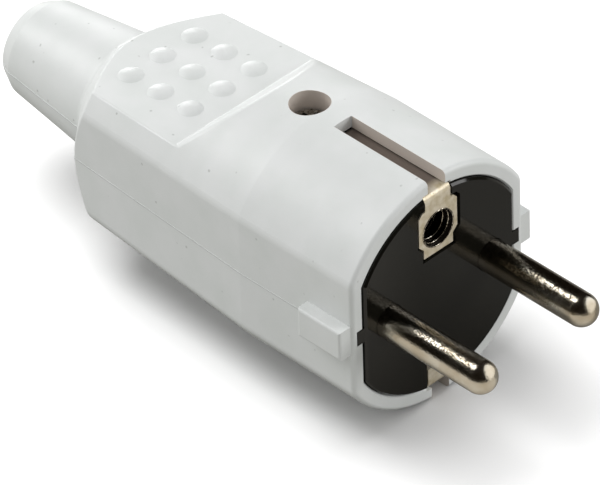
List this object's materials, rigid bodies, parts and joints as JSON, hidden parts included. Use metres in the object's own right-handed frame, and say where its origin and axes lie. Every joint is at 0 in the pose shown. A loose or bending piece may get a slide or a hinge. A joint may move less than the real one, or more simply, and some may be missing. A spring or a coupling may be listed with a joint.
{
  "type": "electric plug",
  "caption": "Rewirable earthed mains plug with round pins, an earth contact socket and a moulded rubber cover that tapers into a cable sleeve.",
  "frame": {"origin": "centre of the engagement face, midway between the pins", "axes": "pins point along -Y, the cable leaves along +Y, X runs from the neutral pin to the live pin, and the earth socket is above, at +Z"},
  "size_m": [0.036, 0.097, 0.0368],
  "materials": {
    "white_rubber": "satin moulded rubber, slightly warm white",
    "black_plastic": "glossy moulded plastic, black",
    "nickel_plated_pins": "bright nickel plate on turned brass",
    "nickel_plated_strip": "satin nickel plate on rolled brass strip",
    "zinc_plated_steel": "bright zinc plate"
  },
  "bodies": {
    "root": {"cover": "white_rubber", "pin_carrier": "black_plastic", "pin_retainer": "black_plastic", "live_pin": "nickel_plated_pins", "neutral_pin": "nickel_plated_pins", "live_terminal_screw": "zinc_plated_steel", "neutral_terminal_screw": "zinc_plated_steel", "earth_strip": "nickel_plated_strip", "earth_socket_sleeve": "nickel_plated_strip", "earth_socket_spring": "zinc_plated_steel", "earth_terminal_clamp": "nickel_plated_strip", "earth_terminal_washer": "zinc_plated_steel", "earth_terminal_screw": "zinc_plated_steel", "cord_clamp_bar": "black_plastic", "cord_clamp_screw_left": "zinc_plated_steel", "cord_clamp_screw_right": "zinc_plated_steel", "cord_clamp_nut_left": "zinc_plated_steel", "cord_clamp_nut_right": "zinc_plated_steel", "cover_screw": "zinc_plated_steel", "cover_screw_nut": "zinc_plated_steel"}
  },
  "joints": []
}
